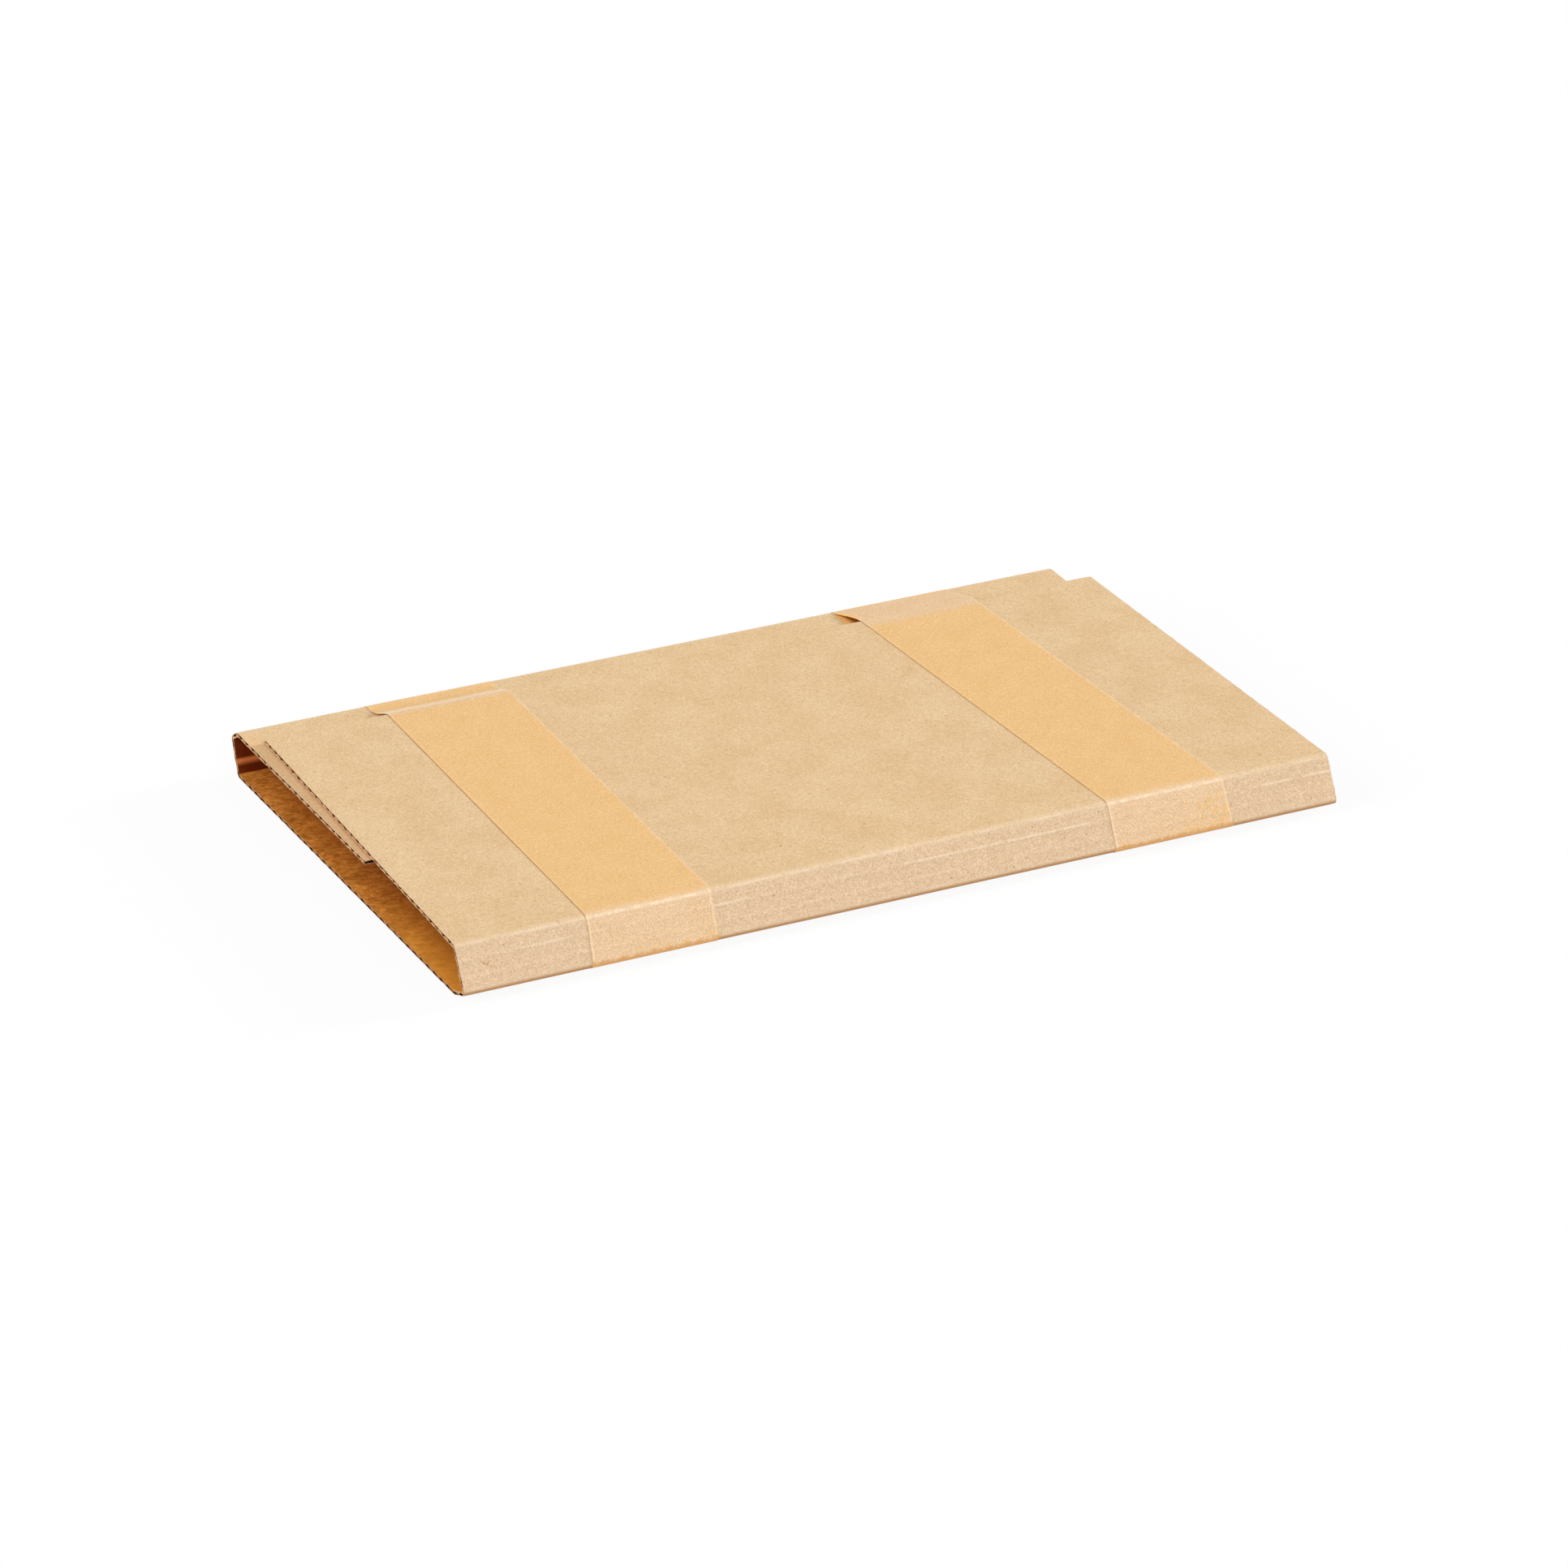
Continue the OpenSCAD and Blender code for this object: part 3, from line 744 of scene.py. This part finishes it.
def outer_paper(name):
    """The outer kraft liner: fine grain, fibres, specks, worn folds, scores and marks of use, with painted
    light and shade.
    """
    shader = Shader(name)
    flat = shader.sheet()
    across, along = shader.axes()
    front, foot, back_fold = (fold_s(corner) for corner in (FRONT_FOLD, FRONT_FOOT_CORNER, BACK_FOLD_CORNER))
    clouds = shader.noise(flat, scale=0.05, detail=3.0, roughness=0.55)
    mottle = shader.noise(flat, scale=0.5, detail=4.0, roughness=0.7)
    grain = shader.noise(flat, scale=1.7, detail=3.0, roughness=0.75)
    on_wall = shader.window(along, (front - 2, front + 2), (foot, foot + 1))
    colour = shader.mix(shader.between(clouds, *NOISE_SPREAD), linear("e0be90"), linear("e6c69b"))
    # Painted cooler light on the front wall: a cooler, pinker tone there
    colour = shader.tint(colour, shader.times(on_wall, 0.85), "e3c39f")
    colour = shader.shade(colour, mottle, 0.3)
    colour = shader.shade(colour, grain, shader.between(on_wall, 0.0, 1.0, 1.05, 1.3))

    # Painted warm light on the back flap's shaded strip along its left end
    strip = shader.times(shader.between(across, LEFT_END + 3.5, LEFT_END + 7.5, 0.4, 0.0),
                         shader.between(along, back_fold, back_fold + 12.0))
    colour = shader.tint(colour, strip, "f2bd80")

    # Dark and light fibres, and specks
    for turn, move, code, share in ((0.25, (3, 8, 0), "bd9362", 0.5), (1.35, (40, 2, 0), "f6dfbc", 0.5),
                                    (2.3, (9, 71, 0), "bd9362", 0.4), (-0.3, (55, 31, 0), "f6dfbc", 0.4)):
        colour = fibres(shader, colour, turn, move, (0.64, 0.72), share, code)
    specks = shader.between(shader.noise(shader.sheet(move=(17, 5, 0)), scale=0.8, detail=1.0), 0.74, 0.79)
    colour = shader.tint(colour, shader.times(specks, 0.6), "9a6c40")

    # Painted highlights along the front fold and along the front wall's two scores
    uneven = shader.between(shader.noise(shader.sheet((1 / 14, 0.3, 1.0)), scale=1.0, detail=3.0), 0.42, 0.62)
    for down, strength in ((0.02, 0.6), (1 / 3, 0.6), (2 / 3, 0.2)):
        crease_highlight = shader.line(along, front + (foot - front) * down, 0.5)
        colour = shader.tint(colour, shader.times(crease_highlight, strength, uneven), "f6dfc4")

    # Worn folds with a painted highlight, and the rubbed edge at the foot of the front wall
    colour = shader.tint(colour, shader.times(shader.value("fold_wear_and_highlight"), 0.3), "efd5b2")
    rubbed = shader.window(along, (foot - 0.9, foot), (foot + 2.0, foot + 5.0), 0.8)
    colour = shader.tint(colour, rubbed, "b5804a")

    # Painted shadows of the bands: under each left edge at the step, and beside it on the top flap
    for band in BANDS.values():
        colour = step_shadow(shader, colour, across, along, band)
        colour = band_edge_shadow(shader, colour, across, along, band)
    for x, past_fold, length, width, turn, code, share in MARKS:
        spot = shader.spot(x, front + past_fold, length, width, turn)
        colour = shader.tint(colour, shader.times(spot, share), code)
    height = shader.math("ADD", grain, mottle)
    roughness = shader.between(grain, *NOISE_SPREAD, 0.78, 0.9)
    normal = shader.bump(height, distance=0.03 * MM, strength=0.6)
    return shader.finish(colour, roughness=roughness, normal=normal, specular=0.12)


def inner_paper(name):
    """The inner liner: deep orange-brown, with wisps and blotches, painted shade on the back wall and painted
    light at its score.
    """
    shader = Shader(name)
    across, along = shader.axes()
    bottom_front, bottom_back = fold_s(BOTTOM_FRONT), fold_s(BOTTOM_BACK)
    back_fold = fold_s(BACK_FOLD_CORNER)
    narrow = shader.sheet((1 / 3.4, 1 / 2.4, 1.0), 0.3)
    wisps = shader.noise(narrow, scale=1.0, detail=6.0, roughness=0.72)
    wide = shader.sheet((1 / 13, 1 / 9, 1.0), -0.2, (5, 2, 0))
    blotches = shader.noise(wide, scale=1.0, detail=4.0, roughness=0.6)
    grain = shader.noise(shader.sheet(), scale=0.9, detail=3.0, roughness=0.75)
    colour = shader.mix(shader.between(wisps, *NOISE_SPREAD), linear("b4631a"), linear("eea246"))
    colour = shader.shade(colour, blotches, 1.2)
    colour = shader.shade(colour, grain, 1.2)

    # Painted light, golden towards the front, and painted shade, deeper brown further in from the left end
    near_front = shader.between(along, bottom_front + 20, bottom_front + 90, 0.6, 0.0)
    colour = shader.tint(colour, near_front, "f8ae40")
    # Painted shade further in from the left end
    inward = shader.between(across, LEFT_END + 3.0, LEFT_END + 17.0, 0.0, 0.6)
    colour = shader.tint(colour, inward, "8e440c")

    # Painted shade on the back wall, with painted light at its score and at the back fold above it
    wall = shader.window(along, (bottom_back - 0.3, bottom_back + 0.3),
                         (back_fold - 4.0, back_fold - 1.0), 0.93)
    colour = shader.tint(colour, wall, "702404")
    # Painted light along the back wall's score
    score = shader.line(along, (fold_s(SCORE_LOW) + fold_s(SCORE_HIGH)) / 2, 1.9)
    colour = shader.tint(colour, shader.times(score, 0.95), "f5924a")
    # Painted light inside the back fold
    corner = shader.line(along, back_fold, 5.0)
    colour = shader.tint(colour, shader.times(corner, 0.8), "f0b878")
    height = shader.math("ADD", grain, wisps)
    normal = shader.bump(height, distance=0.04 * MM, strength=0.6)
    return shader.finish(colour, roughness=0.85, normal=normal, specular=0.1)


def flute_paper(name):
    """The hollows between the liners: dark brown as painted shade, with the glue's stain."""
    shader = Shader(name)
    rough = shader.noise(shader.sheet(), scale=0.9, detail=3.0, roughness=0.6)
    colour = shader.mix(shader.between(rough, 0.35, 0.65), linear("361809"), linear("5a3013"))
    normal = shader.bump(rough, distance=0.05 * MM, strength=0.6)
    return shader.finish(colour, roughness=0.95, normal=normal, specular=0.05)


def cut_paper(name, light, dark):
    """The cut edge of a paper: pale torn fibre, with darker places, and painted shade along the bottom panel.
    """
    shader = Shader(name)
    along = shader.axes()[1]
    bottom_front, bottom_back = fold_s(BOTTOM_FRONT), fold_s(BOTTOM_BACK)
    rough = shader.noise(shader.sheet((1.0, 1.0, 4.0)), scale=0.9, detail=3.0, roughness=0.6)
    colour = shader.mix(shader.between(rough, 0.42, 0.62), light, dark)
    # Painted shade on the cut edges along the bottom panel, near the floor
    under = shader.window(along, (bottom_front, bottom_front + 2.0), (bottom_back, bottom_back + 6.0), 0.7)
    colour = shader.mix(under, colour, dark)
    normal = shader.bump(rough, distance=0.05 * MM, strength=0.7)
    return shader.finish(colour, roughness=0.9, normal=normal, specular=0.1)


def tape_paper(name):
    """Kraft tape: deep orange and smooth where it is stuck down, and paler and grainier where it isn't."""
    shader = Shader(name)
    flat = shader.sheet()
    along = shader.axes()[1]
    front, foot = fold_s(FRONT_FOLD), fold_s(FRONT_FOOT_CORNER)
    clouds = shader.noise(flat, scale=0.09, detail=3.0, roughness=0.6)
    grain = shader.noise(flat, scale=1.7, detail=3.0, roughness=0.75)
    patches = shader.noise(flat, scale=0.32, detail=5.0, roughness=0.7)
    mottle = shader.noise(flat, scale=0.6, detail=4.0, roughness=0.75)
    patch_swing = shader.math("SUBTRACT", patches, 0.5)

    # Stuck and loose parts, with patches where they meet
    stuck = shader.value("stuck")
    unsure = shader.times(stuck, shader.math("SUBTRACT", 1.0, stuck), 9.0)
    swing = shader.times(patch_swing, shader.math("ADD", unsure, 0.8))
    held = shader.between(shader.math("ADD", stuck, swing), 0.25, 0.75)
    loose = shader.math("SUBTRACT", 1.0, held)
    cloudy = shader.between(clouds, *NOISE_SPREAD)
    held_colour = shader.mix(cloudy, linear("ebbf83"), linear("eec389"))
    loose_colour = shader.mix(cloudy, linear("e9c499"), linear("ecc9a0"))
    colour = shader.mix(held, loose_colour, held_colour)
    colour = shader.shade(colour, grain, shader.between(held, 0.0, 1.0, 1.55, 1.3))
    colour = shader.shade(colour, patches, 0.1)
    colour = shader.shade(colour, mottle, 0.42)
    for turn, move, code in ((0.5, (13, 8, 0), "cf9a58"), (1.8, (4, 22, 0), "f8deb4")):
        colour = fibres(shader, colour, turn, move, (0.66, 0.74), 0.4, code)

    # The band's rims: a painted highlight inside both, a painted highlight on the right edge, a dirty left
    # edge darkened with painted shade, and a painted glow along the span's lifted left edge
    on_wall = shader.window(along, (front - 1, front), (foot, foot + 1))
    off_wall = shader.math("SUBTRACT", 1.0, on_wall)
    left_rim = shader.value("left_rim_mm")
    right_rim = shader.value("right_rim_mm")
    rim = shader.math("MINIMUM", left_rim, right_rim)
    lifted = shader.value("lifted")
    rim_highlight = shader.times(shader.line(rim, 0.75, 0.65), shader.between(on_wall, 0.0, 1.0, 0.12, 0.5))
    colour = shader.tint(colour, rim_highlight, "fbe2be")
    # Painted highlight along the right edge, away from the walls
    pale = shader.times(shader.between(right_rim, 0.15, 0.5, 1.0, 0.0),
                        shader.between(patches, 0.42, 0.6, 0.2, 0.75), off_wall)
    colour = shader.tint(colour, pale, "fdeccb")
    # Dirt along the left edge, darkened further with painted shade where the edge's shadow falls
    dirt_and_shade = shader.times(shader.between(left_rim, 0.08, 0.3, 1.0, 0.0), 0.55,
                        shader.between(lifted, 0.0, 0.1, 1.0, 0.0))
    colour = shader.tint(colour, dirt_and_shade, "94602f")
    # Painted glow along the span's lifted left edge, as light through the tape
    glow = shader.times(shader.between(rim, 0.8, 2.0, 1.0, 0.0), shader.between(lifted, 0.3, 0.9, 0.0, 0.85))
    colour = shader.tint(colour, glow, "ffc860")

    # Worn folds with a painted highlight, painted light on the loose span, a painted highlight at the front
    # fold, and the browner foot
    colour = shader.tint(colour, shader.times(shader.value("fold_wear_and_highlight"), 0.25), "f3d6b0")
    colour = shader.tint(colour, shader.times(shader.value("span_highlight"), loose), "fff0d8")
    # Painted highlight along the front fold
    crease_highlight = shader.times(shader.line(along, front + 0.4, 0.7), shader.between(patches, 0.4, 0.6, 0.2, 0.8))
    colour = shader.tint(colour, crease_highlight, "fde9cc")
    torn = shader.math("ADD", along, shader.times(patch_swing, 4.0))
    low = shader.times(shader.between(torn, foot - 1.3, foot - 0.2),
                       shader.between(along, foot + 2.0, foot + 6.0, 1.0, 0.0), 0.7)
    colour = shader.tint(colour, low, "d89c58")
    height = shader.math("ADD", grain, patches)
    roughness = shader.between(grain, *NOISE_SPREAD, 0.7, 0.8)
    normal = shader.bump(height, distance=0.02 * MM, strength=0.5)
    return shader.finish(colour, roughness=roughness, normal=normal, specular=0.16)


outer_face = outer_paper("outer_face")
inner_face = inner_paper("inner_face")
flute_face = flute_paper("flute_face")
cut_face = cut_paper("cut_face", linear("e2bc94"), linear("a06c3e"))
tape_face = tape_paper("tape_face")
tape_cut = cut_paper("tape_cut", linear("f6cf8a"), linear("c08a4a"))

# Pieces

outer_liner = liner("outer_liner", 1, [outer_face, cut_face, flute_face])
inner_liner = liner("inner_liner", -1, [flute_face, cut_face, inner_face])
flute_layer = fluted_paper("fluted_paper", [flute_face, cut_face, flute_face])
for piece in (outer_liner, inner_liner, flute_layer):
    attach(piece, "root")
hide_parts("wrap_board")

for node, band in BANDS.items():
    tape = tape_band(node.replace("band", "strip"), band, [tape_face, tape_cut, tape_face])
    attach(tape, "root")
    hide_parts(node)


# Studio

def stage_material(name):
    """A pale matte surface that the camera sees as nearly white, with the object's shadow still on it."""
    shader = Shader(name)
    shader.tree.nodes.clear()
    paint = shader.node("ShaderNodeBsdfDiffuse", None, Color=(0.95, 0.95, 0.95, 1))
    glow = shader.node("ShaderNodeEmission", None, Color=(1, 1, 1, 1), Strength=1.0)
    path = shader.node("ShaderNodeLightPath").outputs
    seen = shader.math("MAXIMUM", path["Is Camera Ray"], path["Is Glossy Ray"])
    seen = shader.math("MAXIMUM", seen, path["Is Transmission Ray"])
    blend = shader.node("ShaderNodeMixShader")
    shader.put(blend.inputs[0], shader.times(seen, FLOOR_WHITE))
    shader.put(blend.inputs[1], paint.outputs[0])
    shader.put(blend.inputs[2], glow.outputs[0])
    out = shader.node("ShaderNodeOutputMaterial")
    shader.put(out.inputs["Surface"], blend.outputs[0])
    return shader.material


def floor():
    """The surface that the wrap lies on, far wider than the picture."""
    mesh = bpy.data.meshes.new("studio_floor")
    corners = [(x * FLOOR_REACH, y * FLOOR_REACH, 0) for x, y in ((-1, -1), (1, -1), (1, 1), (-1, 1))]
    mesh.from_pydata(corners, [], [(0, 1, 2, 3)])
    mesh.materials.append(stage_material("floor_paper"))
    obj = bpy.data.objects.new("studio_floor", mesh)
    bpy.context.scene.collection.objects.link(obj)


def soft_sun(name, heading, height, level, spread, tint):
    """Even soft light from one side; level 1 lights white to white."""
    lamp = bpy.data.lights.new(name, "SUN")
    lamp.energy = level * math.pi
    lamp.angle = math.radians(spread)
    lamp.color = tint
    heading, height = math.radians(heading), math.radians(height)
    level_part = math.cos(height)
    source = Vector((math.cos(heading) * level_part, math.sin(heading) * level_part, math.sin(height)))
    obj = bpy.data.objects.new(name, lamp)
    obj.rotation_euler = source.to_track_quat("Z", "Y").to_euler()
    bpy.context.scene.collection.objects.link(obj)


def world():
    """Even pale light from all round, and a white background where the camera looks past the floor."""
    made = bpy.data.worlds.new("studio")
    bpy.context.scene.world = made
    made.use_nodes = True
    tree = made.node_tree
    shade = tree.nodes["Background"]
    shade.inputs["Color"].default_value = (1, 1, 1, 1)
    path = tree.nodes.new("ShaderNodeLightPath")
    level = tree.nodes.new("ShaderNodeMapRange")
    level.inputs["To Min"].default_value = EVEN_LIGHT
    level.inputs["To Max"].default_value = 1.0
    tree.links.new(path.outputs["Is Camera Ray"], level.inputs["Value"])
    tree.links.new(level.outputs["Result"], shade.inputs["Strength"])


def camera():
    """The photograph's camera."""
    data = bpy.data.cameras.new("camera")
    data.lens = LENS
    data.sensor_width = SENSOR
    obj = bpy.data.objects.new("camera", data)
    obj.location = CAMERA_PLACE
    obj.rotation_euler = (math.radians(90 - CAMERA_PITCH), 0, math.radians(-CAMERA_HEADING))
    bpy.context.scene.collection.objects.link(obj)
    bpy.context.scene.camera = obj


floor()
world()
for name, values in LAMPS.items():
    soft_sun(name, *values)
camera()
bpy.context.scene.view_settings.view_transform = "Standard"
